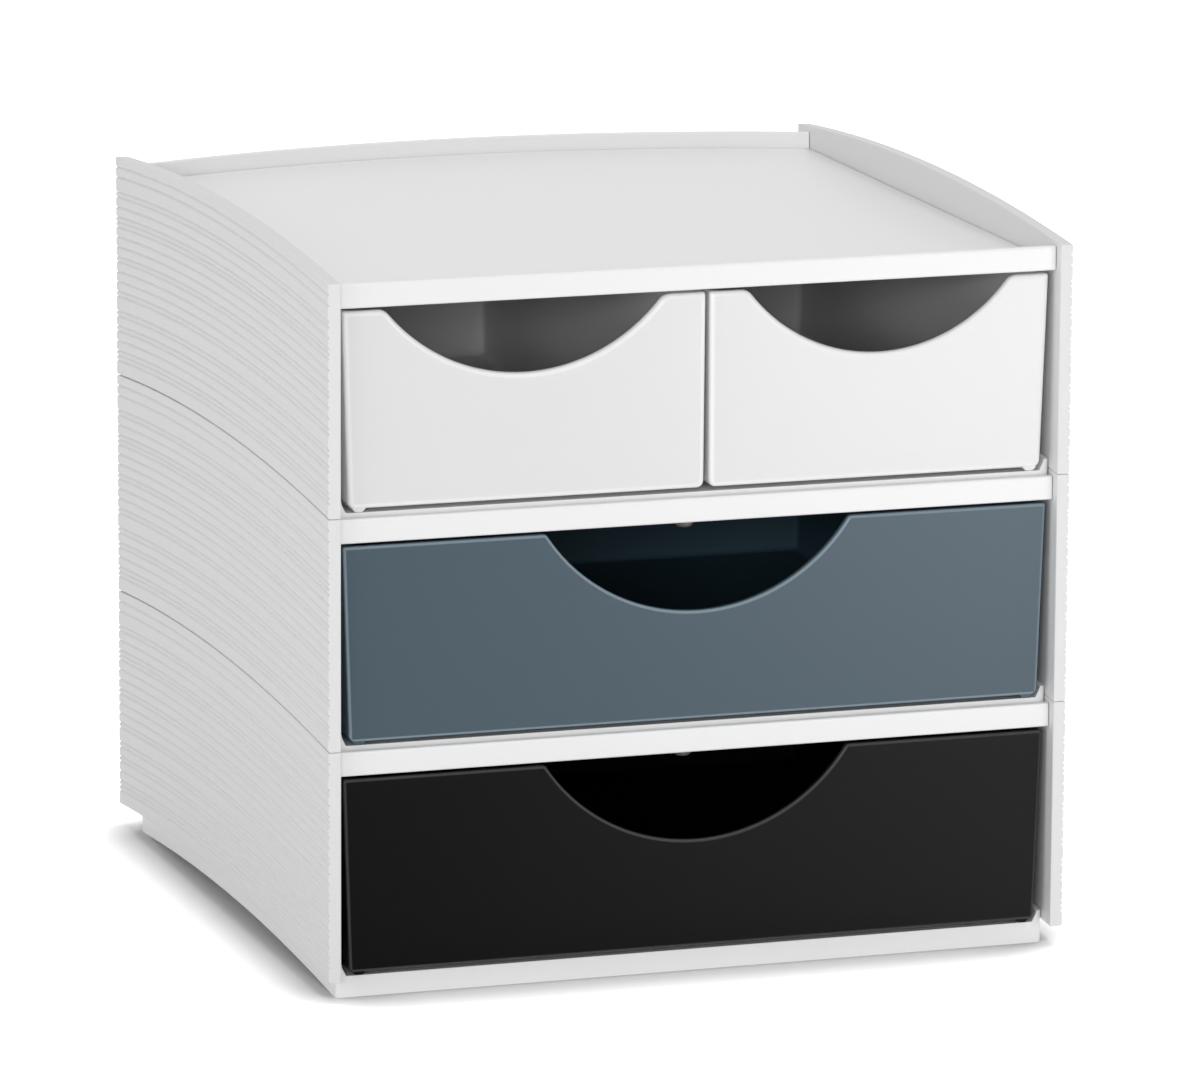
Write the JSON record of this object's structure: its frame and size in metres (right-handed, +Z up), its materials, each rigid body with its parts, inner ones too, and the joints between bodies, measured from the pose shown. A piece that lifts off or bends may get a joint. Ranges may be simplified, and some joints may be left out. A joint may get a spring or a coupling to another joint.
{
  "type": "desktop mini drawers",
  "caption": "Stackable desktop drawer unit with ribbed sides, an open top tray, wide drawers below and small drawers above, each with a finger cut-out.",
  "frame": {"origin": "on the surface the unit stands on, under the middle of its bounding box", "axes": "+X to the right as seen from the drawer fronts, +Y to the back, +Z up"},
  "size_m": [0.264, 0.278, 0.2516],
  "materials": {
    "shell": "satin-gloss moulded white",
    "side_panel": "matt ribbed white",
    "white_drawer": "gloss moulded white",
    "slate_drawer": "gloss moulded slate grey",
    "black_drawer": "gloss moulded black",
    "stop_peg": "matt grey"
  },
  "bodies": {
    "cabinet": {"base_bottom": "shell", "base_middle": "shell", "base_top": "shell", "left_side_bottom": "side_panel", "left_side_middle": "side_panel", "left_side_top": "side_panel", "right_side_bottom": "side_panel", "right_side_middle": "side_panel", "right_side_top": "side_panel", "back_bottom": "shell", "back_middle": "shell", "back_top": "shell", "tray_bottom": "shell", "tray_middle": "shell", "tray_top": "shell", "stop_peg_bottom": "stop_peg", "stop_peg_middle": "stop_peg"},
    "black_drawer": {"black_drawer": "black_drawer"},
    "slate_drawer": {"slate_drawer": "slate_drawer"},
    "white_drawer_left": {"white_drawer_left": "white_drawer"},
    "white_drawer_right": {"white_drawer_right": "white_drawer"}
  },
  "joints": [
    {"name": "black_drawer_slide", "type": "slide", "parent": "cabinet", "child": "black_drawer", "axis": [0, -1, 0], "range_m": [0, 0.22]},
    {"name": "slate_drawer_slide", "type": "slide", "parent": "cabinet", "child": "slate_drawer", "axis": [0, -1, 0], "range_m": [0, 0.22]},
    {"name": "white_drawer_left_slide", "type": "slide", "parent": "cabinet", "child": "white_drawer_left", "axis": [0, -1, 0], "range_m": [0, 0.18]},
    {"name": "white_drawer_right_slide", "type": "slide", "parent": "cabinet", "child": "white_drawer_right", "axis": [0, -1, 0], "range_m": [0, 0.18]}
  ]
}
